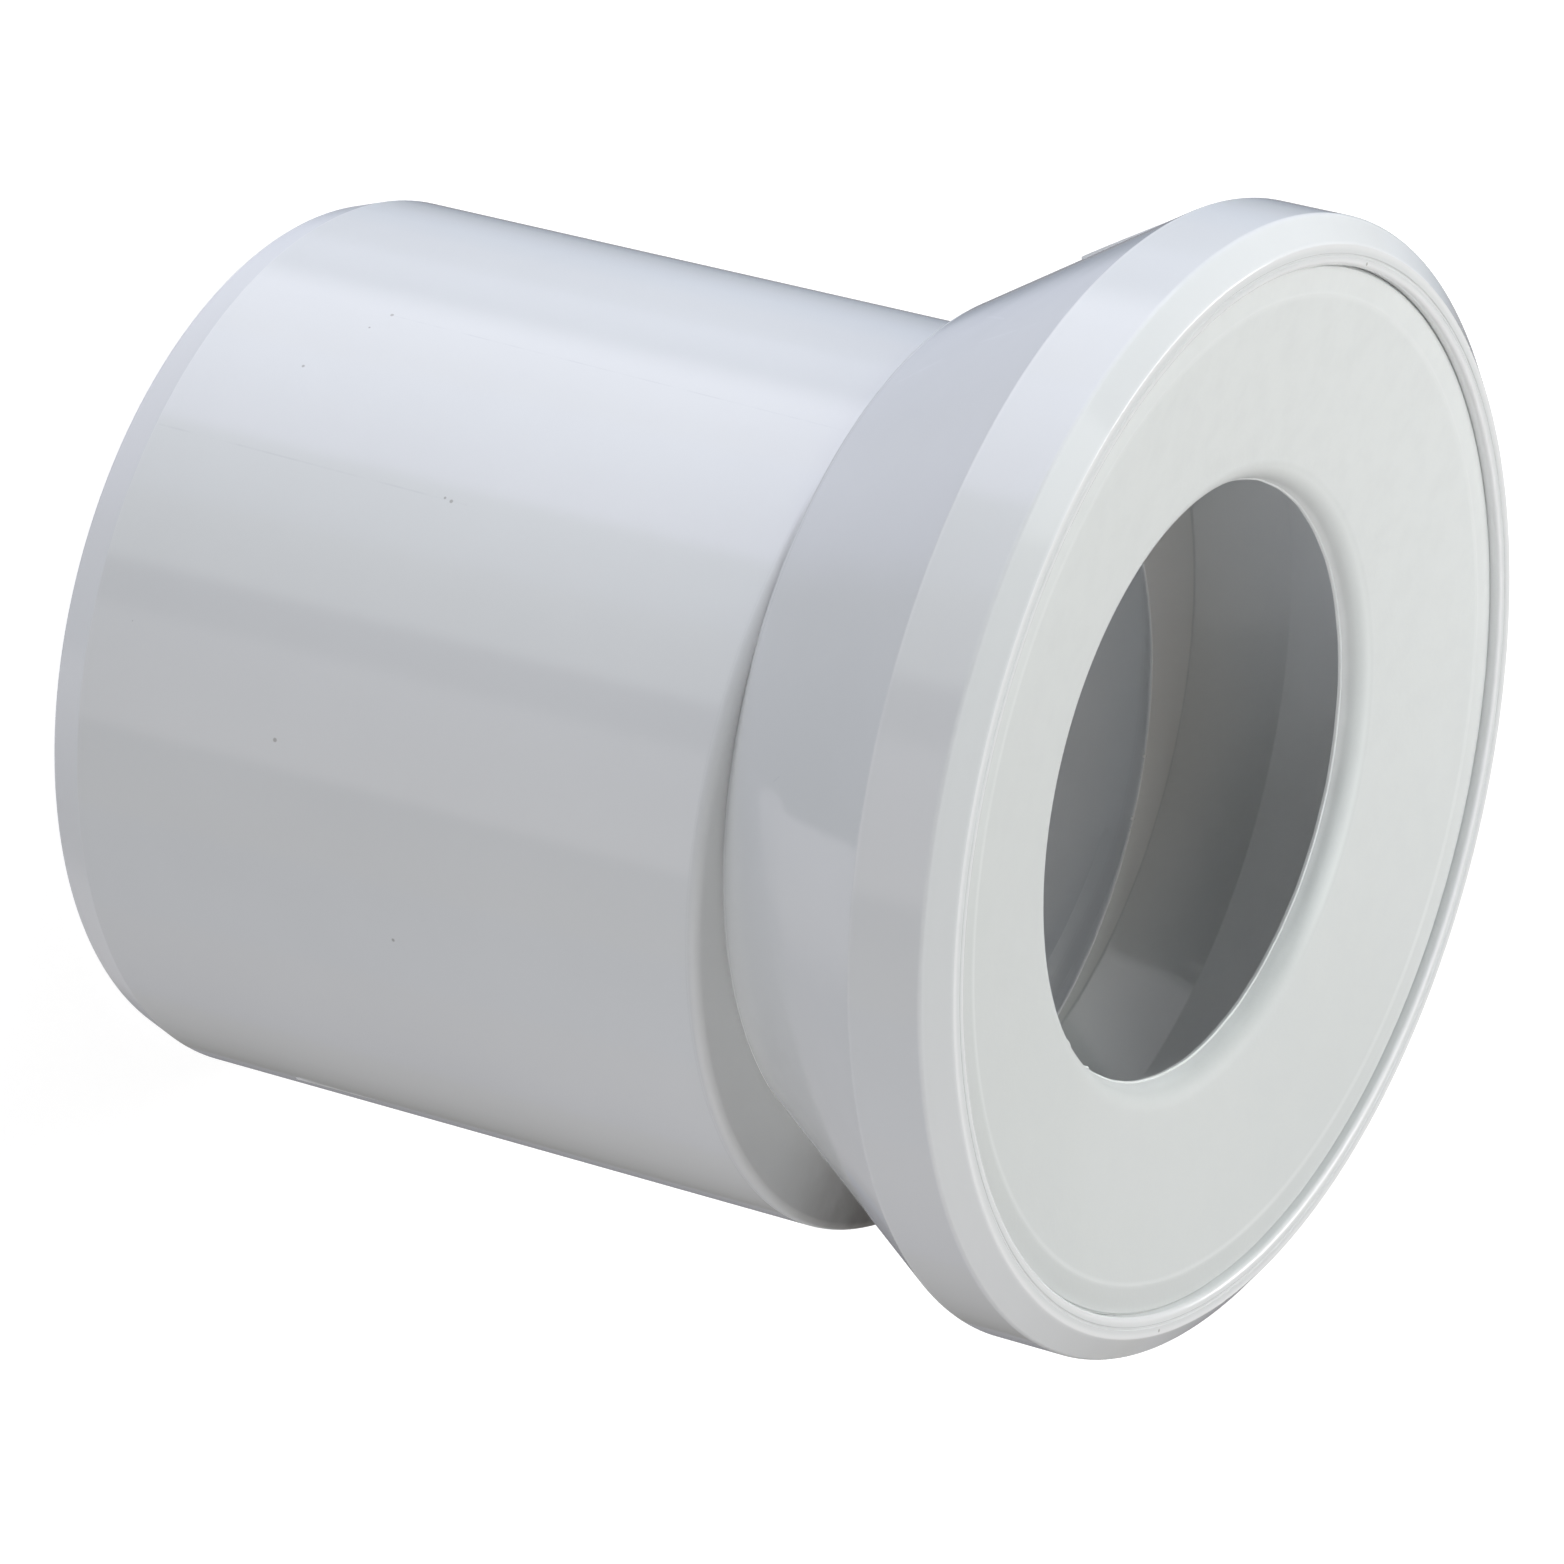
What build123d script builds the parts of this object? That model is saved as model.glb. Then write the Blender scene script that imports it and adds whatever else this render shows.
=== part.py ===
"""Eccentric toilet pan connector: a moulded spigot-and-socket body and the lip seal in its mouth.

Frame: millimetres, +Z up and out of the mouth, z = 0 on the spigot's end face, the origin on the
spigot's axis, and the socket's axis shifted along +X.
"""

from build123d import *
import os

os.makedirs("parts", exist_ok=True)

# ---- driving dimensions -------------------------------------------------------------------
# spigot, about the Z axis
spigot_r = 55.0            # DN 100 spigot, 110 mm across
spigot_end_r = 53.5        # small end of the lead-in chamfer
leadin_h = 4.6             # height of the lead-in chamfer
leadin_round = 0.7         # rounding of the end face's outer edge
shoulder_z = 93.0          # plane where the spigot ends and the socket begins
shoulder_round = 1.2       # rounding of the shoulder's outer edge
bore_r = 51.0              # inside of the spigot
bore_top_z = 89.8          # roof of the bore under the shoulder
bore_leadin = 0.8          # chamfer of the bore at the end face

# stop collar between spigot and socket
passage_r = 44.6           # its opening, on the spigot's axis
collar_z = 96.5            # seat for the end of the pan's outlet
passage_land = 0.35        # thin edge of the opening
passage_undercut = 2.8     # the underside falls away from that edge over this width
collar_under_z = 94.9      # underside of the collar, within the neck
neck_bore_r = 51.5         # bore within the neck, on the socket's axis
neck_bore_step = 0.25      # small step where the bore enters the neck

# socket, about an axis shifted along +X
offset = 8.0               # eccentricity
neck_r = 52.8              # back edge of the flared wall
flare_z = 120.4            # top of the flare
socket_r = 69.6            # widest band
bevel_z = 130.0            # foot of the front bevel
rim_z = 132.6              # front face
rim_r = 66.4               # outer edge of the front face
flare_round = 0.6          # crease between flare and band
bevel_round = 0.8          # crease between band and bevel
rim_round = 0.35           # edges of the front face

# inside of the socket
inner_neck_r = 51.4        # foot of the inner flare, on the collar
inner_flare_z = 106.7      # top of the inner flare
inner_r = 57.5             # straight inner wall
seat_z = 119.4             # seat of the seal's root
seat_r = 66.2              # seal chamber
lip_z = 130.6              # back of the rim's lip
lip_r = 63.8               # inside of the rim's lip
lip_round = 0.6            # rounding of its front edge

# lip seal
seal_gap = 0.1             # room round the seal's root
root_in_r = 60.6           # inside of the root
face_r = 63.65             # outer edge of the front face
face_z = 131.4             # flat outer ring of the front face
dish_r = 60.2              # where the face begins to dish
fold_r = 37.7              # where it turns down to the lip
fold_z = 128.0
fold_round = 3.4
foot_r = 36.8              # foot of the fold, at the lip's edge
foot_z = 125.4
foot_round = 0.12
hole_r = 36.6              # opening of the lip
hole_z = 125.35            # front edge of the opening
hole_land = 0.4            # thickness of the lip's edge
lip_back_r = 39.8          # back of the web behind the fold
lip_back_z = 125.9
web_back_z = 127.8         # back of the web at the root

socket_plane = Plane(origin=(offset, 0, 0), x_dir=(1, 0, 0), z_dir=(0, -1, 0))
socket_axis = Axis((offset, 0, 0), (0, 0, 1))


def at(sketch, r, z):
    """The profile's vertices at radius r and height z of the sketch's own plane."""
    return [v for v in sketch.vertices() if abs(v.X - r) < 0.01 and abs(v.Y - z) < 0.01]


# ---- opening of the stop collar: round about the spigot, undercut, and flush with the socket's wall on the near side ----
with BuildPart() as passage:
    with BuildSketch(Plane.XZ):
        with BuildLine():
            Polyline(
                (0, collar_under_z),
                (passage_r + passage_undercut, collar_under_z),
                (passage_r, collar_z - passage_land),
                (passage_r, collar_z),
                (0, collar_z),
                close=True,
            )
        make_face()
    revolve(axis=Axis.Z)
    with BuildSketch(Plane.XY.offset(collar_under_z)):
        with Locations((offset, 0)):
            Circle(inner_neck_r - 0.4)
    extrude(amount=collar_z - collar_under_z, mode=Mode.INTERSECT)

# ---- moulded body ---------------------------------------------------------------------------
with BuildPart() as connector_body:
    # spigot, solid
    with BuildSketch(Plane.XZ) as spigot_profile:
        with BuildLine():
            Polyline(
                (0, 0),
                (spigot_end_r, 0),
                (spigot_r, leadin_h),
                (spigot_r, shoulder_z),
                (0, shoulder_z),
                close=True,
            )
        make_face()
        fillet(at(spigot_profile.sketch_local, spigot_end_r, 0), leadin_round)
        fillet(at(spigot_profile.sketch_local, spigot_r, shoulder_z), shoulder_round)
    revolve(axis=Axis.Z)

    # socket, solid
    with BuildSketch(socket_plane) as socket_profile:
        with BuildLine():
            Polyline(
                (0, shoulder_z),
                (neck_r, shoulder_z),
                (socket_r, flare_z),
                (socket_r, bevel_z),
                (rim_r, rim_z),
                (0, rim_z),
                close=True,
            )
        make_face()
        fillet(at(socket_profile.sketch_local, socket_r, flare_z), flare_round)
        fillet(at(socket_profile.sketch_local, socket_r, bevel_z), bevel_round)
        fillet(at(socket_profile.sketch_local, rim_r, rim_z), rim_round)
    revolve(axis=socket_axis)

    # bore of the spigot
    with BuildSketch(Plane.XZ):
        with BuildLine():
            Polyline(
                (0, 0),
                (bore_r + bore_leadin, 0),
                (bore_r, bore_leadin * 2),
                (bore_r, bore_top_z),
                (0, bore_top_z),
                close=True,
            )
        make_face()
    revolve(axis=Axis.Z, mode=Mode.SUBTRACT)

    # the bore goes on within the neck, up to the stop collar
    with BuildSketch(Plane.XY.offset(bore_top_z - 2)):
        Circle(bore_r - neck_bore_step)
        with Locations((offset, 0)):
            Circle(neck_bore_r, mode=Mode.INTERSECT)
    extrude(amount=collar_under_z - bore_top_z + 2, mode=Mode.SUBTRACT)

    # inside of the socket: flare, straight wall, seal chamber and lip
    with BuildSketch(socket_plane) as cavity_profile:
        with BuildLine():
            Polyline(
                (lip_r + lip_round, rim_z),
                (0, rim_z),
                (0, collar_z),
                (inner_neck_r, collar_z),
                (inner_r, inner_flare_z),
                (inner_r, seat_z),
                (seat_r, seat_z),
                (seat_r, lip_z),
                (lip_r, lip_z),
                (lip_r, rim_z - lip_round),
            )
            RadiusArc((lip_r, rim_z - lip_round), (lip_r + lip_round, rim_z), lip_round)
        make_face()
    revolve(axis=socket_axis, mode=Mode.SUBTRACT)

    # opening of the stop collar
    add(passage.part, mode=Mode.SUBTRACT)

connector_body.part.label = "connector_body"
export_step(connector_body.part, "parts/connector_body.step")

# ---- lip seal -------------------------------------------------------------------------------
with BuildPart() as lip_seal:
    with BuildSketch(socket_plane) as seal_profile:
        with BuildLine():
            Polyline(
                (face_r, face_z),
                (dish_r, face_z),
                (fold_r, fold_z),
                (foot_r, foot_z),
                (hole_r, hole_z),
                (hole_r, hole_z - hole_land),
                (hole_r + 0.9, hole_z - hole_land - 0.1),
                (lip_back_r, lip_back_z),
                (root_in_r - 2.0, web_back_z),
                (root_in_r, web_back_z - 2.0),
                (root_in_r, seat_z),
                (seat_r - seal_gap, seat_z),
                (seat_r - seal_gap, lip_z - seal_gap),
                (face_r, lip_z - seal_gap),
                close=True,
            )
        make_face()
        fillet(at(seal_profile.sketch_local, fold_r, fold_z), fold_round)
        fillet(at(seal_profile.sketch_local, foot_r, foot_z), foot_round)
    revolve(axis=socket_axis)

lip_seal.part.label = "lip_seal"
export_step(lip_seal.part, "parts/lip_seal.step")

for piece in (connector_body, lip_seal):
    box = piece.part.bounding_box()
    print(piece.part.label, "volume", round(piece.part.volume), "box", box.min, box.max)
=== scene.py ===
import math

import bmesh
import bpy
from mathutils import Matrix, Vector


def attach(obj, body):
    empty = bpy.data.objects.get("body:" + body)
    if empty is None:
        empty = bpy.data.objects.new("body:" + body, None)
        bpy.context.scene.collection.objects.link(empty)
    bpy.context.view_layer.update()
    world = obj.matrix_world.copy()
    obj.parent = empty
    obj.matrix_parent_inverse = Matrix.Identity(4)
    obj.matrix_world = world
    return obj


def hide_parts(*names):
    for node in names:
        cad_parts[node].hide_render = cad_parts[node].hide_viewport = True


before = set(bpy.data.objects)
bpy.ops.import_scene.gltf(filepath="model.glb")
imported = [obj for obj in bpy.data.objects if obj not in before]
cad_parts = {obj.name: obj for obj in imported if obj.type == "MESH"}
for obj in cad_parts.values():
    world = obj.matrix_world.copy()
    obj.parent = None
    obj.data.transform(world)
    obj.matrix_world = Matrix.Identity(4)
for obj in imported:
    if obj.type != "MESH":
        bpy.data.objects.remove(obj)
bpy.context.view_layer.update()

MM = 0.001
SEG = 256                     # facets round each turned surface

# ---- the connector's sizes, in millimetres, as in the CAD -------------------------------------
SPIGOT_R, SPIGOT_END_R, LEADIN_H, LEADIN_ROUND = 55.0, 53.5, 4.6, 0.7
SHOULDER_Z, SHOULDER_ROUND = 93.0, 1.2
BORE_R, BORE_TOP, BORE_LEADIN = 51.0, 89.8, 0.8
PASSAGE_R, COLLAR_Z, PASSAGE_LAND, UNDERCUT, COLLAR_UNDER_Z, NECK_BORE_R, NECK_BORE_STEP = 44.6, 96.5, 0.35, 2.8, 94.9, 51.5, 0.25
OFF = 8.0
NECK_R, FLARE_Z, SOCKET_R, BEVEL_Z, RIM_Z, RIM_R = 52.8, 120.4, 69.6, 130.0, 132.6, 66.4
FLARE_ROUND, BEVEL_ROUND, RIM_ROUND = 0.6, 0.8, 0.35
IN_NECK_R, IN_FLARE_Z, IN_R, SEAT_Z, SEAT_R, LIP_Z, LIP_R, LIP_ROUND = 51.4, 106.7, 57.5, 119.4, 66.2, 130.6, 63.8, 0.6
SEAL_GAP, ROOT_IN_R, FACE_R, FACE_Z, DISH_R = 0.1, 60.6, 63.65, 131.4, 60.2
FOLD_R, FOLD_Z, FOLD_ROUND, FOOT_R, FOOT_Z, FOOT_ROUND = 37.7, 128.0, 3.4, 36.8, 125.4, 0.12
HOLE_R, HOLE_Z, HOLE_LAND, LIP_BACK_R, LIP_BACK_Z, WEB_BACK_Z = 36.6, 125.35, 0.4, 39.8, 125.9, 127.8


# ---- mesh helpers -----------------------------------------------------------------------------
def rounded(points, steps=6):
    """A profile of (r, z[, rounding]) corners as a polyline with its corners rounded."""
    out = []
    for i, p in enumerate(points):
        rad = p[2] if len(p) > 2 else 0
        if not rad or i in (0, len(points) - 1):
            out.append((p[0], p[1]))
            continue
        a, b, c = Vector(points[i - 1][:2]), Vector(p[:2]), Vector(points[i + 1][:2])
        u, v = (a - b).normalized(), (c - b).normalized()
        half = u.angle(v) / 2
        cut = rad / math.tan(half)
        mid = b + (u + v).normalized() * (rad / math.sin(half))
        s, e = b + u * cut - mid, b + v * cut - mid
        turn = s.angle_signed(e)
        for k in range(steps + 1):
            t = -turn * k / steps
            q = Vector((s.x * math.cos(t) - s.y * math.sin(t), s.x * math.sin(t) + s.y * math.cos(t)))
            out.append((mid.x + q.x, mid.y + q.y))
    return out


def lathe(name, profile, cx=0.0, closed=False, seg=SEG, phase=0.0):
    """Turns a profile of (r, z) millimetres about the vertical axis at x = cx. A profile from axis to axis makes a solid, a closed one a ring. phase turns its facets, so that those of joined pieces never fall in line."""
    bm = bmesh.new()
    rings = []
    for r, z in profile:
        if r < 1e-6:
            rings.append([bm.verts.new((cx * MM, 0, z * MM))])
        else:
            rings.append([
                bm.verts.new(((cx + r * math.cos(2 * math.pi * (k + phase) / seg)) * MM, r * math.sin(2 * math.pi * (k + phase) / seg) * MM, z * MM))
                for k in range(seg)
            ])
    pairs = list(zip(rings, rings[1:])) + ([(rings[-1], rings[0])] if closed else [])
    for a, b in pairs:
        for k in range(seg):
            j = (k + 1) % seg
            if len(a) == 1:
                bm.faces.new((a[0], b[j], b[k]))
            elif len(b) == 1:
                bm.faces.new((a[k], a[j], b[0]))
            else:
                bm.faces.new((a[k], a[j], b[j], b[k]))
    bmesh.ops.recalc_face_normals(bm, faces=bm.faces)
    mesh = bpy.data.meshes.new(name)
    bm.to_mesh(mesh)
    bm.free()
    obj = bpy.data.objects.new(name, mesh)
    bpy.context.scene.collection.objects.link(obj)
    return obj


def combine(obj, other, operation):
    """obj joined with, cut by, or kept inside other, which is used up."""
    mod = obj.modifiers.new("combine", "BOOLEAN")
    mod.operation, mod.solver, mod.object = operation, "EXACT", other
    dg = bpy.context.evaluated_depsgraph_get()
    made = bpy.data.meshes.new_from_object(obj.evaluated_get(dg))
    obj.modifiers.remove(mod)
    old = obj.data
    obj.data = made
    bpy.data.meshes.remove(old)
    old = other.data
    bpy.data.objects.remove(other)
    bpy.data.meshes.remove(old)
    return obj


def smooth(obj, degrees=24):
    """Smooth shading that leaves the large faces true and keeps the turn within the roundings."""
    for p in obj.data.polygons:
        p.use_smooth = True
    obj.data.set_sharp_from_angle(angle=math.radians(degrees))
    mod = obj.modifiers.new("weight", "WEIGHTED_NORMAL")
    mod.mode, mod.weight, mod.thresh, mod.keep_sharp = "FACE_AREA", 50, 0.01, True
    dg = bpy.context.evaluated_depsgraph_get()
    made = bpy.data.meshes.new_from_object(obj.evaluated_get(dg))
    obj.modifiers.remove(mod)
    old = obj.data
    obj.data = made
    bpy.data.meshes.remove(old)


# ---- moulded body -----------------------------------------------------------------------------
E = 0.02                       # pieces reach this far into each other before they are joined
body = lathe("body_moulding", rounded([
    (0, 0), (SPIGOT_END_R, 0, LEADIN_ROUND), (SPIGOT_R, LEADIN_H, 0.5), (SPIGOT_R, 20), (SPIGOT_R, 40), (SPIGOT_R, 60), (SPIGOT_R, 80),
    (SPIGOT_R, SHOULDER_Z, SHOULDER_ROUND), (0, SHOULDER_Z)]))
socket = lathe("socket", rounded([
    (0, SHOULDER_Z - E), (NECK_R, SHOULDER_Z - E), (NECK_R, SHOULDER_Z), (NECK_R + 0.12, SHOULDER_Z + 0.2), (SOCKET_R, FLARE_Z, FLARE_ROUND), (SOCKET_R, BEVEL_Z, BEVEL_ROUND),
    (RIM_R, RIM_Z, RIM_ROUND), (0, RIM_Z)]), OFF, phase=0.12)
combine(body, socket, "UNION")
bore = lathe("bore", [(0, -5), (BORE_R + BORE_LEADIN, -5), (BORE_R + BORE_LEADIN, 0), (BORE_R, 2 * BORE_LEADIN), (BORE_R, 45), (BORE_R, BORE_TOP), (0, BORE_TOP)], phase=0.31)
cavity = lathe("cavity", rounded([
    (0, COLLAR_Z), (IN_NECK_R, COLLAR_Z, 0.3), (IN_R, IN_FLARE_Z, 0.3), (IN_R, SEAT_Z), (SEAT_R, SEAT_Z), (SEAT_R, LIP_Z), (LIP_R, LIP_Z)])
    + [(LIP_R + LIP_ROUND - LIP_ROUND * math.cos(math.radians(t)), RIM_Z - 0.012 - LIP_ROUND + LIP_ROUND * math.sin(math.radians(t))) for t in range(0, 91, 15)]
    # a fine turned line on the rim's flat
    + [(64.9, RIM_Z - 0.012), (65.02, RIM_Z - 0.1), (65.22, RIM_Z - 0.1), (65.37, RIM_Z + 0.03), (65.37, RIM_Z + 5), (0, RIM_Z + 5)], OFF, phase=0.47)
neck_bore = lathe("neck_bore", [(0, BORE_TOP - 2), (BORE_R - NECK_BORE_STEP, BORE_TOP - 2), (BORE_R - NECK_BORE_STEP, COLLAR_UNDER_Z), (0, COLLAR_UNDER_Z)], phase=0.18)
within = lathe("within", [(0, BORE_TOP - 3), (NECK_BORE_R, BORE_TOP - 3), (NECK_BORE_R, COLLAR_Z), (0, COLLAR_Z)], OFF, phase=0.63)
combine(neck_bore, within, "INTERSECT")
slant = UNDERCUT / (COLLAR_Z - PASSAGE_LAND - COLLAR_UNDER_Z)
passage = lathe("passage", [(0, COLLAR_UNDER_Z - 0.2), (PASSAGE_R + UNDERCUT + 0.2 * slant, COLLAR_UNDER_Z - 0.2), (PASSAGE_R, COLLAR_Z - PASSAGE_LAND),
                            (PASSAGE_R, COLLAR_Z - 0.08), (PASSAGE_R + 0.18, COLLAR_Z + 0.1), (0, COLLAR_Z + 0.1)], phase=0.77)
within = lathe("within", [(0, COLLAR_UNDER_Z - 2), (IN_NECK_R - 0.4, COLLAR_UNDER_Z - 2), (IN_NECK_R - 0.4, COLLAR_Z + 2), (0, COLLAR_Z + 2)], OFF, phase=0.39)
combine(passage, within, "INTERSECT")
combine(body, bore, "DIFFERENCE")
combine(body, neck_bore, "DIFFERENCE")
combine(body, cavity, "DIFFERENCE")
combine(body, passage, "DIFFERENCE")


def ridge(name, path, width, heights):
    """A thin moulding ridge along path, points (place, outward) in millimetres, sunk a little into the wall."""
    bm = bmesh.new()
    rows = []
    for k, ((place, out), h) in enumerate(zip(path, heights)):
        place, out = Vector(place), Vector(out).normalized()
        ahead = (Vector(path[min(k + 1, len(path) - 1)][0]) - Vector(path[max(k - 1, 0)][0])).normalized()
        side = ahead.cross(out).normalized()
        ring = [side * (-width / 2) - out * 0.3, side * (-width / 2) - out * 0.02, side * (-width / 6) + out * h, side * (width / 6) + out * h,
                side * (width / 2) - out * 0.02, side * (width / 2) - out * 0.3]
        rows.append([bm.verts.new((place + q) * MM) for q in ring])
    for a, b in zip(rows, rows[1:]):
        for k in range(6):
            j = (k + 1) % 6
            bm.faces.new((a[k], a[j], b[j], b[k]))
    bm.faces.new(rows[0][::-1])
    bm.faces.new(rows[-1])
    bmesh.ops.recalc_face_normals(bm, faces=bm.faces)
    mesh = bpy.data.meshes.new(name)
    bm.to_mesh(mesh)
    bm.free()
    obj = bpy.data.objects.new(name, mesh)
    bpy.context.scene.collection.objects.link(obj)
    return obj


def polar(cx, deg, r, z):
    return (cx + r * math.cos(math.radians(deg)), r * math.sin(math.radians(deg)), z)


# flash left at the mould's parting: a sliver on the flare and a low line along the spigot
slope = (SOCKET_R - NECK_R) / (FLARE_Z - SHOULDER_Z)
flare_path = [(polar(OFF, 17.0, NECK_R + slope * (z - SHOULDER_Z), z), polar(0, 17.0, 1, -slope)) for z in (104.0, 104.2, 107.0, 110.0, 113.0, 116.0, 117.6)]
combine(body, ridge("flash_flare", flare_path, 0.7, [0.42, 0.48, 0.44, 0.36, 0.26, 0.13, 0.01]), "UNION")
spigot_path = [(polar(0, 168.6, SPIGOT_R, z), polar(0, 168.6, 1, 0)) for z in (21.0, 21.3, 24.0, 28.0, 33.0)]
combine(body, ridge("flash_spigot", spigot_path, 0.9, [0.14, 0.18, 0.13, 0.07, 0.005]), "UNION")
# burrs on the edge of the stop collar's opening
for deg, size in ((-78.3, 0.34), (-81.5, 0.20), (-88.5, 0.36), (-90.2, 0.22)):
    bm = bmesh.new()
    bmesh.ops.create_icosphere(bm, subdivisions=2, radius=size * MM, matrix=Matrix.Translation(Vector(polar(0, deg, PASSAGE_R + 0.08, COLLAR_Z - 0.2)) * MM) @ Matrix.Diagonal((1.0, 1.3, 0.8, 1.0)))
    mesh = bpy.data.meshes.new("burr")
    bm.to_mesh(mesh)
    bm.free()
    burr = bpy.data.objects.new("burr", mesh)
    bpy.context.scene.collection.objects.link(burr)
    combine(body, burr, "UNION")
smooth(body)

# ---- lip seal ---------------------------------------------------------------------------------
seal = lathe("seal_moulding", rounded([
    (FACE_R, LIP_Z - SEAL_GAP), (LIP_R - 0.03, LIP_Z), (LIP_R - 0.03, FACE_Z - 0.3), (FACE_R - 0.05, FACE_Z - 0.22), (FACE_R - 0.15, FACE_Z, 0.15), (62.0, FACE_Z), (DISH_R, FACE_Z, 0.8),
    (55.0, FACE_Z - (DISH_R - 55.0) * (FACE_Z - FOLD_Z) / (DISH_R - FOLD_R)), (46.0, FACE_Z - (DISH_R - 46.0) * (FACE_Z - FOLD_Z) / (DISH_R - FOLD_R)),
    (FOLD_R, FOLD_Z, FOLD_ROUND), (FOOT_R, FOOT_Z, FOOT_ROUND), (HOLE_R, HOLE_Z, 0.06), (HOLE_R, HOLE_Z - HOLE_LAND, 0.08), (HOLE_R + 0.9, HOLE_Z - HOLE_LAND - 0.1),
    (LIP_BACK_R, LIP_BACK_Z), (ROOT_IN_R - 2, WEB_BACK_Z), (ROOT_IN_R, WEB_BACK_Z - 2), (ROOT_IN_R, SEAT_Z), (SEAT_R - SEAL_GAP, SEAT_Z),
    (SEAT_R - SEAL_GAP, LIP_Z - SEAL_GAP)], 8), OFF, closed=True, seg=512)
# the trimmed edge of the opening wanders a little, and has two small tags
for v in seal.data.vertices:
    x, y, z = v.co.x / MM - OFF, v.co.y / MM, v.co.z / MM
    r, deg = math.hypot(x, y), math.degrees(math.atan2(y, x))
    if r < FOOT_R + 1.2 and z < FOOT_Z + 1.2:
        fade = min(1.0, max(0.0, (FOOT_R + 1.2 - r) / 1.2))
        move = 0.035 * math.sin(math.radians(7 * deg + 40)) + 0.03 * math.sin(math.radians(16 * deg)) + 0.02 * math.sin(math.radians(37 * deg + 10))
        move -= 0.5 * math.exp(-((deg - 152.9) / 0.7) ** 2) + 0.3 * math.exp(-((deg - 166.4) / 0.6) ** 2) - 0.12 * math.exp(-((deg - 154.6) / 0.8) ** 2)
        k = (r + move * fade) / r
        v.co.x, v.co.y = (OFF + x * k) * MM, y * k * MM
smooth(seal)


# ---- materials --------------------------------------------------------------------------------
def shader(name):
    mat = bpy.data.materials.new(name)
    mat.use_nodes = True
    nt = mat.node_tree
    return mat, nt.nodes, nt.links, nt.nodes["Principled BSDF"]


def noise(nodes, links, coord, scale, detail=2.0, rough=0.5):
    n = nodes.new("ShaderNodeTexNoise")
    n.inputs["Scale"].default_value = scale
    n.inputs["Detail"].default_value = detail
    n.inputs["Roughness"].default_value = rough
    links.new(coord, n.inputs["Vector"])
    return n.outputs["Fac"]


def ramp(nodes, links, fac, stops):
    r = nodes.new("ShaderNodeValToRGB")
    el = r.color_ramp.elements
    while len(el) < len(stops):
        el.new(0.5)
    for e, (pos, col) in zip(el, stops):
        e.position = pos
        e.color = (*col, 1) if len(col) == 3 else col
    links.new(fac, r.inputs["Fac"])
    return r.outputs["Color"]


def bump(nodes, links, height, distance, strength=1.0, normal=None):
    b = nodes.new("ShaderNodeBump")
    b.inputs["Strength"].default_value = strength
    b.inputs["Distance"].default_value = distance
    links.new(height, b.inputs["Height"])
    if normal:
        links.new(normal, b.inputs["Normal"])
    return b.outputs["Normal"]


def calc(nodes, links, op, a, b=None, clamp=False):
    n = nodes.new("ShaderNodeMath")
    n.operation, n.use_clamp = op, clamp
    for k, v in enumerate((a, b)):
        if v is None:
            continue
        if isinstance(v, (int, float)):
            n.inputs[k].default_value = v
        else:
            links.new(v, n.inputs[k])
    return n.outputs[0]


def vector(nodes, links, op, a, b, out=0):
    n = nodes.new("ShaderNodeVectorMath")
    n.operation = op
    for k, v in enumerate((a, b)):
        if isinstance(v, (tuple, Vector)):
            n.inputs[k].default_value = v
        else:
            links.new(v, n.inputs[k])
    return n.outputs[out]


def near(nodes, links, value, reach, soft=0.0):
    """1 where value is under soft, falling to 0 at reach."""
    n = nodes.new("ShaderNodeMapRange")
    n.interpolation_type = "SMOOTHSTEP"
    n.inputs["From Min"].default_value, n.inputs["From Max"].default_value = soft, reach
    n.inputs["To Min"].default_value, n.inputs["To Max"].default_value = 1.0, 0.0
    links.new(value, n.inputs["Value"])
    return n.outputs["Result"]


def spot(nodes, links, coord, place, radius):
    """A round mark at place, in millimetres."""
    return near(nodes, links, vector(nodes, links, "DISTANCE", coord, Vector(place) * MM, 1), radius * MM, radius * 0.5 * MM)


def streak(nodes, links, coord, start, end, width):
    """A mark along the straight run from start to end, in millimetres."""
    a, ab = Vector(start) * MM, (Vector(end) - Vector(start)) * MM
    off = vector(nodes, links, "SUBTRACT", coord, a)
    t = calc(nodes, links, "DIVIDE", vector(nodes, links, "DOT_PRODUCT", off, ab, 1), ab.length_squared, clamp=True)
    scaled = nodes.new("ShaderNodeVectorMath")
    scaled.operation = "SCALE"
    scaled.inputs[0].default_value = ab
    links.new(t, scaled.inputs["Scale"])
    return near(nodes, links, vector(nodes, links, "DISTANCE", off, scaled.outputs[0], 1), width * MM, width * 0.2 * MM)


def tinted(nodes, links, fac, a, b):
    n = nodes.new("ShaderNodeMix")
    n.data_type = "RGBA"
    links.new(fac, n.inputs["Factor"])
    for sock, v in ((n.inputs[6], a), (n.inputs[7], b)):
        if isinstance(v, tuple):
            sock.default_value = (*v, 1)
        else:
            links.new(v, sock)
    return n.outputs[2]


def total(nodes, links, parts):
    out = parts[0]
    for q in parts[1:]:
        out = calc(nodes, links, "MAXIMUM", out, q)
    return out


plastic, nodes, links, bsdf = shader("white_plastic_moulded")
coord = nodes.new("ShaderNodeTexCoord").outputs["Object"]
xyz = nodes.new("ShaderNodeSeparateXYZ")
links.new(coord, xyz.inputs[0])
across = vector(nodes, links, "MULTIPLY", vector(nodes, links, "SUBTRACT", coord, (OFF * MM, 0, 0)), (1, 1, 0))
socket_r = vector(nodes, links, "LENGTH", across, (0, 0, 0), 1)


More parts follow.
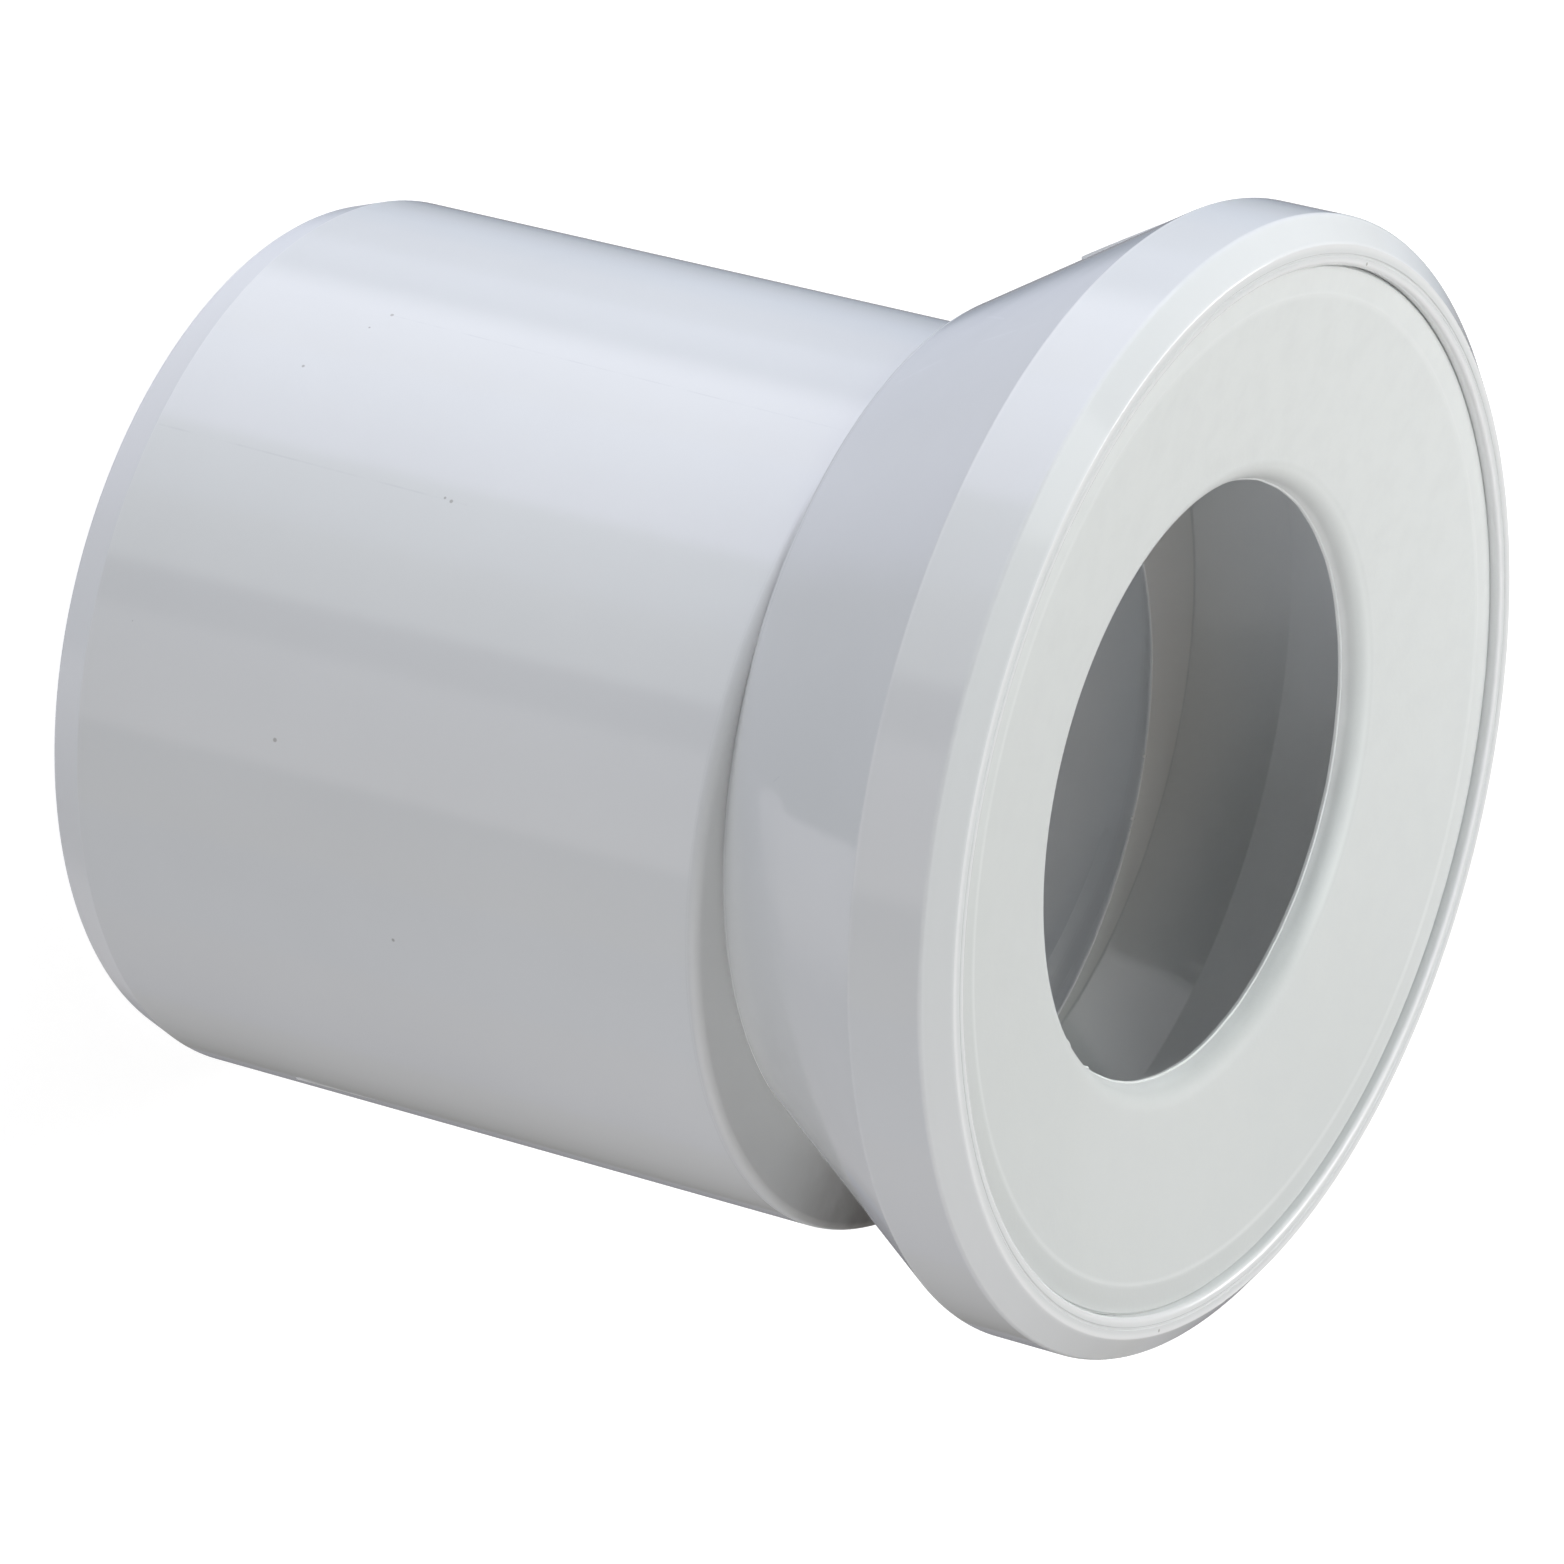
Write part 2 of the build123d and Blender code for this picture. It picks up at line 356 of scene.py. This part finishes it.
def crease(r, z, reach):
    """A band along the turned edge at radius r and height z of the socket."""
    dr, dz = calc(nodes, links, "SUBTRACT", socket_r, r * MM), calc(nodes, links, "SUBTRACT", xyz.outputs["Z"], z * MM)
    return near(nodes, links, calc(nodes, links, "SQRT", calc(nodes, links, "ADD", calc(nodes, links, "MULTIPLY", dr, dr), calc(nodes, links, "MULTIPLY", dz, dz))), reach * MM)


# colour: slight cloudiness of the melt, rubbed edges, a painted highlight on the rim's edges, specks and handling marks
colour = ramp(nodes, links, noise(nodes, links, coord, 38, 4), [(0.3, (0.780, 0.790, 0.788)), (0.7, (0.799, 0.809, 0.807))])
rubbed = total(nodes, links, [crease(SOCKET_R, FLARE_Z, 0.6), crease(SOCKET_R, BEVEL_Z, 0.6)])
rim_edge_painted_highlight = total(nodes, links, [crease(RIM_R - 0.2, RIM_Z, 0.7), crease(LIP_R + 0.4, RIM_Z, 0.7)])
rubbed = calc(nodes, links, "MULTIPLY", rubbed, near(nodes, links, noise(nodes, links, coord, 700, 3), 0.62, 0.35))
colour = tinted(nodes, links, calc(nodes, links, "MULTIPLY", rubbed, 0.22), colour, (0.85, 0.85, 0.85))
# the rim's edges are painted paler: a painted highlight
colour = tinted(nodes, links, calc(nodes, links, "MULTIPLY", rim_edge_painted_highlight, 0.8), colour, (0.90, 0.90, 0.90))
# the lead-in is painted a little paler than the wall: painted light against the shade of its downward-facing chamfer
cut = near(nodes, links, xyz.outputs["Z"], (LEADIN_H + 0.2) * MM, (LEADIN_H - 0.1) * MM)
colour = tinted(nodes, links, calc(nodes, links, "MULTIPLY", cut, 0.8), colour, (0.92, 0.925, 0.93))
# the collar's seat is painted paler, painted light, and the widest band a little darker, painted shade
collar_painted_light = calc(nodes, links, "MULTIPLY", near(nodes, links, calc(nodes, links, "ABSOLUTE", calc(nodes, links, "SUBTRACT", xyz.outputs["Z"], COLLAR_Z * MM)), 0.00012, 0.00005), near(nodes, links, socket_r, 0.0511, 0.0507))
colour = tinted(nodes, links, calc(nodes, links, "MULTIPLY", collar_painted_light, 0.8), colour, (0.95, 0.945, 0.93))
band_painted_shade = near(nodes, links, calc(nodes, links, "ABSOLUTE", calc(nodes, links, "SUBTRACT", xyz.outputs["Z"], 0.1252)), 0.0047, 0.0043)
colour = tinted(nodes, links, calc(nodes, links, "MULTIPLY", band_painted_shade, 0.08), colour, (0.5, 0.5, 0.5))
scuffs = total(nodes, links, [
    streak(nodes, links, coord, polar(OFF, 46.5, 54.6, 95.9), polar(OFF, 44.8, 57.9, 101.3), 0.45),
    streak(nodes, links, coord, polar(OFF, 43.9, 61.2, 106.6), polar(OFF, 44.6, 66.6, 115.6), 0.35),
    streak(nodes, links, coord, polar(OFF, 36.0, 58.6, 102.5), polar(OFF, 39.5, 61.5, 107.2), 0.3),
])
scuffs = calc(nodes, links, "MULTIPLY", scuffs, near(nodes, links, noise(nodes, links, coord, 420, 2), 0.75, 0.4))
colour = tinted(nodes, links, calc(nodes, links, "MULTIPLY", scuffs, 0.22), colour, (0.88, 0.89, 0.90))
lines = total(nodes, links, [
    streak(nodes, links, coord, (39.67, 38.1, 25.8), (38.59, 39.18, 89.8), 0.16),
    streak(nodes, links, coord, (20.37, 51.09, 5.0), (19.7, 51.35, 49.8), 0.18),
    streak(nodes, links, coord, polar(OFF, 100.6, 58.4, 102.2), polar(OFF, 99.8, 59.0, 103.1), 0.12),
    streak(nodes, links, coord, polar(OFF, 102.0, 69.55, 129.2), polar(OFF, 102.9, 69.4, 130.3), 0.12),
])
lines = calc(nodes, links, "MULTIPLY", lines, near(nodes, links, noise(nodes, links, coord, 260, 2), 0.7, 0.38))
colour = tinted(nodes, links, calc(nodes, links, "MULTIPLY", lines, 0.14), colour, (0.45, 0.46, 0.50))
specks = total(nodes, links, [spot(nodes, links, coord, q, r) for q, r in (
    ((39.7, 38.06, 25.3), 0.30), ((31.2, 45.29, 19.3), 0.26), ((37.6, 40.15, 23.9), 0.18), ((-12.77, 53.5, 32.9), 0.34), ((-32.54, 44.34, 49.8), 0.28),
    ((19.68, 51.36, 47.6), 0.30), ((19.9, 51.27, 46.6), 0.22), ((-56.8, -12.0, 132.6), 0.28), ((72.4, 1.6, 132.6), 0.28))])
scattered = nodes.new("ShaderNodeTexVoronoi")
scattered.inputs["Scale"].default_value = 42
links.new(coord, scattered.inputs["Vector"])
pick = nodes.new("ShaderNodeSeparateColor")
links.new(scattered.outputs["Color"], pick.inputs[0])
dust = calc(nodes, links, "MULTIPLY", near(nodes, links, scattered.outputs["Distance"], 0.009, 0.004), calc(nodes, links, "GREATER_THAN", pick.outputs[0], 0.72))
colour = tinted(nodes, links, calc(nodes, links, "MULTIPLY", total(nodes, links, [specks, dust]), 0.55), colour, (0.26, 0.24, 0.22))
# painted shade: a little on the step and its rounded edge, and more in the corner under the flare where the step is
# widest
corner_painted_shade = near(nodes, links, vector(nodes, links, "DISTANCE", coord, Vector((-55.0, -16.0, SHOULDER_Z)) * MM, 1), 0.037, 0.004)
on_step = near(nodes, links, calc(nodes, links, "ABSOLUTE", calc(nodes, links, "SUBTRACT", xyz.outputs["Z"], SHOULDER_Z * MM)), 0.0008, 0.0003)
shoulder_edge_painted_shade_and_dull = near(nodes, links, calc(nodes, links, "ABSOLUTE", calc(nodes, links, "SUBTRACT", xyz.outputs["Z"], (SHOULDER_Z - 0.5) * MM)), 0.0012, 0.0006)
step_painted_shade = total(nodes, links, [calc(nodes, links, "MULTIPLY", on_step, 0.06), calc(nodes, links, "MULTIPLY", shoulder_edge_painted_shade_and_dull, 0.13)])
colour = tinted(nodes, links, step_painted_shade, colour, (0.27, 0.265, 0.26))
corner_painted_shade = calc(nodes, links, "MULTIPLY", calc(nodes, links, "MULTIPLY", corner_painted_shade, on_step), near(nodes, links, noise(nodes, links, coord, 300, 3), 1.7, 0.3))
colour = tinted(nodes, links, calc(nodes, links, "MULTIPLY", corner_painted_shade, 0.88), colour, (0.13, 0.115, 0.105))
links.new(colour, bsdf.inputs["Base Color"])
# finish: polished, a little duller where it was handled
gloss = ramp(nodes, links, noise(nodes, links, coord, 160, 3), [(0.3, (0.045,) * 3), (0.7, (0.07,) * 3)])
dull = total(nodes, links, [calc(nodes, links, "MULTIPLY", total(nodes, links, [scuffs, rubbed]), 0.07), calc(nodes, links, "MULTIPLY", cut, 0.12), calc(nodes, links, "MULTIPLY", shoulder_edge_painted_shade_and_dull, 0.4)])
links.new(calc(nodes, links, "ADD", gloss, dull), bsdf.inputs["Roughness"])
bsdf.inputs["IOR"].default_value = 1.5
# surface: faint waviness of the wall, stronger on the flare, and a very fine grain
on_flare = calc(nodes, links, "MULTIPLY", calc(nodes, links, "GREATER_THAN", xyz.outputs["Z"], (SHOULDER_Z + 0.2) * MM), calc(nodes, links, "LESS_THAN", xyz.outputs["Z"], (FLARE_Z - 0.5) * MM))
wave = calc(nodes, links, "MULTIPLY", noise(nodes, links, coord, 110, 1), calc(nodes, links, "ADD", calc(nodes, links, "MULTIPLY", on_flare, 0.85), 0.15))
surface = bump(nodes, links, wave, 0.00006)
surface = bump(nodes, links, noise(nodes, links, coord, 2600, 2), 0.0000012, 1.0, surface)
links.new(surface, bsdf.inputs["Normal"])

rubber, nodes, links, bsdf = shader("pale_rubber_moulded")
coord = nodes.new("ShaderNodeTexCoord").outputs["Object"]
across = vector(nodes, links, "MULTIPLY", vector(nodes, links, "SUBTRACT", coord, (OFF * MM, 0, 0)), (1, 1, 0))
seal_r = vector(nodes, links, "LENGTH", across, (0, 0, 0), 1)
colour = ramp(nodes, links, noise(nodes, links, coord, 34, 6, 0.6), [(0.3, (0.655, 0.675, 0.664)), (0.5, (0.668, 0.687, 0.673)), (0.7, (0.675, 0.692, 0.682))])
# painted light: the seal's +X side is painted paler, where more light falls
painted_light_xyz = nodes.new("ShaderNodeSeparateXYZ")
links.new(coord, painted_light_xyz.inputs[0])
colour = tinted(nodes, links, near(nodes, links, calc(nodes, links, "MULTIPLY", painted_light_xyz.outputs["X"], -1.0), 0.03, -0.07), colour, (0.766, 0.787, 0.775))
mottle = ramp(nodes, links, noise(nodes, links, coord, 240, 3, 0.6), [(0.42, (0, 0, 0)), (0.72, (1, 1, 1))])
colour = tinted(nodes, links, calc(nodes, links, "MULTIPLY", mottle, 0.2), colour, (0.645, 0.661, 0.656))
# painted highlights: paler at the trimmed edge of the opening, and along the edge of the dish
narrow = near(nodes, links, calc(nodes, links, "ABSOLUTE", calc(nodes, links, "SUBTRACT", seal_r, HOLE_R * MM)), 0.0011, 0.0004)
line = near(nodes, links, calc(nodes, links, "ABSOLUTE", calc(nodes, links, "SUBTRACT", seal_r, (DISH_R - 0.1) * MM)), 0.0006, 0.0001)
line = calc(nodes, links, "MULTIPLY", line, noise(nodes, links, coord, 60, 2))
colour = tinted(nodes, links, calc(nodes, links, "MULTIPLY", total(nodes, links, [narrow, line]), 0.6), colour, (0.84, 0.855, 0.845))
# painted light: paler on one side of the fold and on that side's trimmed edge, against the fold's shading
fold_painted_light = near(nodes, links, calc(nodes, links, "ABSOLUTE", calc(nodes, links, "SUBTRACT", seal_r, 0.0382)), 0.0012, 0.0005)
side = near(nodes, links, vector(nodes, links, "DOT_PRODUCT", coord, (-0.6, 0.8, 0.0), 1), -0.017, -0.033)
colour = tinted(nodes, links, calc(nodes, links, "MULTIPLY", calc(nodes, links, "MULTIPLY", fold_painted_light, side), 0.9), colour, (0.825, 0.847, 0.833))
trimmed_edge_painted_highlight = near(nodes, links, calc(nodes, links, "ABSOLUTE", calc(nodes, links, "SUBTRACT", seal_r, HOLE_R * MM)), 0.00055, 0.0003)
colour = tinted(nodes, links, calc(nodes, links, "MULTIPLY", calc(nodes, links, "MULTIPLY", trimmed_edge_painted_highlight, side), 0.9), colour, (0.94, 0.955, 0.945))
grit = nodes.new("ShaderNodeTexVoronoi")
grit.inputs["Scale"].default_value = 95
links.new(coord, grit.inputs["Vector"])
pick = nodes.new("ShaderNodeSeparateColor")
links.new(grit.outputs["Color"], pick.inputs[0])
grit = calc(nodes, links, "MULTIPLY", near(nodes, links, grit.outputs["Distance"], 0.016, 0.006), calc(nodes, links, "GREATER_THAN", pick.outputs[0], 0.86))
colour = tinted(nodes, links, calc(nodes, links, "MULTIPLY", grit, 0.4), colour, (0.36, 0.36, 0.34))
links.new(colour, bsdf.inputs["Base Color"])
links.new(ramp(nodes, links, noise(nodes, links, coord, 220, 3), [(0.3, (0.52,) * 3), (0.7, (0.62,) * 3)]), bsdf.inputs["Roughness"])
bsdf.inputs["IOR"].default_value = 1.45
surface = bump(nodes, links, noise(nodes, links, coord, 90, 2), 0.00004)
surface = bump(nodes, links, noise(nodes, links, coord, 1400, 2), 0.000012, 1.0, surface)
links.new(surface, bsdf.inputs["Normal"])

paper, nodes, links, bsdf = shader("floor_pale")
coord = nodes.new("ShaderNodeTexCoord").outputs["Object"]
links.new(ramp(nodes, links, noise(nodes, links, coord, 3, 3), [(0.3, (0.29, 0.29, 0.29)), (0.7, (0.31, 0.31, 0.31))]), bsdf.inputs["Base Color"])
bsdf.inputs["Roughness"].default_value = 0.9
bsdf.inputs["Specular IOR Level"].default_value = 0.1
bsdf.inputs["Emission Color"].default_value = (1, 1, 1, 1)
bsdf.inputs["Emission Strength"].default_value = 0.86

for obj, node, slot, mat in ((body, "connector_body", "white_plastic", plastic), (seal, "lip_seal", "pale_rubber", rubber)):
    obj.data.materials.clear()
    obj.data.materials.append(mat)
    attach(obj, "root")
    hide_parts(node)

# ---- floor, light, camera ---------------------------------------------------------------------
bm = bmesh.new()
bmesh.ops.create_grid(bm, x_segments=8, y_segments=8, size=15)
floor_mesh = bpy.data.meshes.new("floor")
bm.to_mesh(floor_mesh)
bm.free()
floor = bpy.data.objects.new("floor", floor_mesh)
bpy.context.scene.collection.objects.link(floor)
floor.data.materials.append(paper)
floor.visible_glossy = floor.visible_diffuse = floor.visible_shadow = False

CENTRE = Vector((0.004, 0, 0.066))


def softbox(name, az, el, dist, size, power, colour=(1, 1, 1)):
    a, e = math.radians(az), math.radians(el)
    back = Vector((math.cos(a) * math.cos(e), math.sin(a) * math.cos(e), math.sin(e)))
    data = bpy.data.lights.new(name, "AREA")
    data.shape, data.size, data.size_y = "RECTANGLE", size[0], size[1]
    data.energy, data.color = power, colour
    obj = bpy.data.objects.new(name, data)
    obj.matrix_world = Matrix.Translation(CENTRE + back * dist) @ (-back).to_track_quat("-Z", "Y").to_matrix().to_4x4()
    obj.visible_camera = False
    bpy.context.scene.collection.objects.link(obj)
    return obj


LIGHTS = [
    ("key_high", -60, 50, 1.1, (0.55, 0.55), 5.72, (1.0, 0.94, 0.936)),
    ("side_low", 0, 15, 1.1, (0.55, 0.55), 2.82, (0.852, 0.942, 1.0)),
    ("side_high", 0, 50, 1.1, (0.55, 0.55), 1.74, (0.944, 1.0, 0.994)),
    ("side_steep", 0, 70, 1.1, (0.55, 0.55), 1.68, (0.859, 1.0, 0.978)),
    ("top", 0, 88, 1.1, (0.55, 0.55), 0.91, (0.698, 0.778, 1.0)),
    ("front_high", 26, 50, 1.1, (0.55, 0.55), 1.20, (0.971, 1.0, 0.998)),
    ("front_turned", 120, 50, 1.1, (0.55, 0.55), 0.70, (1.0, 0.99, 0.94)),
    ("front_steep", 90, 65, 1.1, (0.55, 0.55), 0.72, (1.0, 0.841, 0.729)),
    ("front_low", 145, 15, 1.1, (0.55, 0.55), 3.75, (0.881, 0.911, 1.0)),
    ("left_low", 180, 15, 1.1, (0.55, 0.55), 2.70, (1.0, 0.942, 0.841)),
]
for spec in LIGHTS:
    box = softbox(*spec)
    box.visible_glossy = spec[0] in ("key_high", "top", "front_high")

# the studio around: cards and dark gaps between them, as (from azimuth, to azimuth, colour)
LOW_CARDS = [
    (-110, -80, (0.20, 0.20, 0.22)), (-80, -60, (0.140, 0.170, 0.224)), (-60, -45, (0.195, 0.239, 0.339)), (-45, -30, (0.227, 0.231, 0.306)),
    (-30, -13, (0.513, 0.516, 0.648)), (-7, 2, (2.03, 2.01, 2.27)), (2, 15, (2.21, 2.19, 2.47)), (15, 44, (2.482, 2.533, 2.953)),
    (44, 64, (1.515, 1.619, 1.684)), (64, 83, (1.298, 1.361, 1.319)), (83, 95, (0.669, 0.625, 0.595)), (95, 126, (0.421, 0.375, 0.373)),
    (126, 150, (0.0, 0.0, 0.0)), (150, 180, (0.046, 0.097, 0.210)), (180, 215, (0.105, 0.111, 0.163)), (215, 250, (0.090, 0.086, 0.070)),
]
MIRRORED = {83: (0.30, 0.28, 0.27), 95: (0.95, 0.91, 0.91), 126: (0.15, 0.15, 0.15)}   # other strengths for mirrored rays, by first azimuth
STEEP_CARDS = [(-110, -45, (0.406, 0.441, 0.537)), (-45, 45, (0.496, 0.526, 0.620)), (45, 200, (0.0, 0.0, 0.0)), (200, 250, (0.435, 0.429, 0.446))]
HIGH_CARDS = [(-110, -12, (0.0, 0.0, 0.0)), (-12, 38, (1.25, 1.25, 1.30)), (38, 133, (0.0, 0.0, 0.0)), (133, 186, (0.40, 0.40, 0.40)), (186, 250, (0.0, 0.0, 0.0))]
EDGE = 1.6                    # half the width of a card's soft edge, degrees
PEAK = 4.0                    # the ramps hold strengths up to this one
SKY = (0.03 / PEAK, 0.03 / PEAK, 0.025 / PEAK)

world = bpy.data.worlds.new("studio")
bpy.context.scene.world = world
world.use_nodes = True
wn, wl = world.node_tree.nodes, world.node_tree.links


def wmath(op, a, b=None, c=None):
    n = wn.new("ShaderNodeMath")
    n.operation = op
    for k, v in enumerate((a, b, c)):
        if v is None:
            continue
        if isinstance(v, (int, float)):
            n.inputs[k].default_value = v
        else:
            wl.new(v, n.inputs[k])
    return n.outputs[0]


def wstep(value, low, high):
    """0 below low, 1 above high, smooth between."""
    n = wn.new("ShaderNodeMapRange")
    n.interpolation_type = "SMOOTHSTEP"
    n.inputs["From Min"].default_value, n.inputs["From Max"].default_value = low, high
    wl.new(value, n.inputs["Value"])
    return n.outputs["Result"]


def wmix(fac, a, b):
    n = wn.new("ShaderNodeMix")
    n.data_type = "RGBA"
    wl.new(fac, n.inputs["Factor"])
    for sock, v in ((n.inputs[6], a), (n.inputs[7], b)):
        if isinstance(v, tuple):
            sock.default_value = (*v, 1)
        else:
            wl.new(v, sock)
    return n.outputs[2]


def cards(turn, rows):
    stops = []
    for lo, hi, light in rows:
        col = tuple(v / PEAK for v in light)
        stops += [((lo + 110 + EDGE) / 360, col), ((hi + 110 - EDGE) / 360, col)]
    return ramp(wn, wl, turn, stops)


direction = wn.new("ShaderNodeSeparateXYZ")
wl.new(wn.new("ShaderNodeTexCoord").outputs["Generated"], direction.inputs[0])
dx, dy, dz = direction.outputs
turn = wmath("DIVIDE", wmath("FLOORED_MODULO", wmath("ADD", wmath("MULTIPLY", wmath("ARCTAN2", dy, dx), 180 / math.pi), 110), 360), 360)
nadir = wmix(wstep(dx, -0.43, -0.21), (0.60 / PEAK, 0.58 / PEAK, 0.58 / PEAK), (0.87 / PEAK, 0.85 / PEAK, 0.86 / PEAK))
nadir = wmix(wstep(dx, -0.214, -0.204), nadir, wmix(wstep(dx, 0.14, 0.26), (0.26 / PEAK, 0.28 / PEAK, 0.25 / PEAK), (0.61 / PEAK, 0.65 / PEAK, 0.77 / PEAK)))
sky = wmix(wstep(dz, -0.93, -0.87), nadir, cards(turn, STEEP_CARDS))
path = wn.new("ShaderNodeLightPath")
low = wmix(path.outputs["Is Glossy Ray"], cards(turn, LOW_CARDS), cards(turn, [(a, b, MIRRORED.get(a, c)) for a, b, c in LOW_CARDS]))
sky = wmix(wstep(dz, -0.66, -0.58), sky, low)
high = cards(turn, HIGH_CARDS)
high = wmix(wstep(dz, 0.60, 0.72), high, SKY)
high = wmix(path.outputs["Is Glossy Ray"], SKY, high)
sky = wmix(wstep(dz, -0.02, 0.02), sky, high)
wl.new(wmix(path.outputs["Is Camera Ray"], sky, (1 / PEAK, 1 / PEAK, 1 / PEAK)), wn["Background"].inputs["Color"])
wn["Background"].inputs["Strength"].default_value = PEAK

cam_data = bpy.data.cameras.new("camera")
cam_data.sensor_fit, cam_data.sensor_width = "HORIZONTAL", 36.0
cam_data.lens = 9823.76 * 36.0 / 1564.0
cam_data.clip_start, cam_data.clip_end = 0.01, 100
cam = bpy.data.objects.new("camera", cam_data)
right, down, ahead = Vector((0.2358005, -0.4754003, 0.8475805)), Vector((-0.9715341, -0.0948629, 0.2170772)), Vector((-0.0227947, -0.8746403, -0.4842363))
cam.matrix_world = Matrix.Translation((0.023131, 1.043675, 0.64927)) @ Matrix((right, -down, -ahead)).transposed().to_4x4()
bpy.context.scene.collection.objects.link(cam)
bpy.context.scene.camera = cam
bpy.context.scene.view_settings.view_transform = "Standard"
bpy.context.scene.view_settings.look = "None"
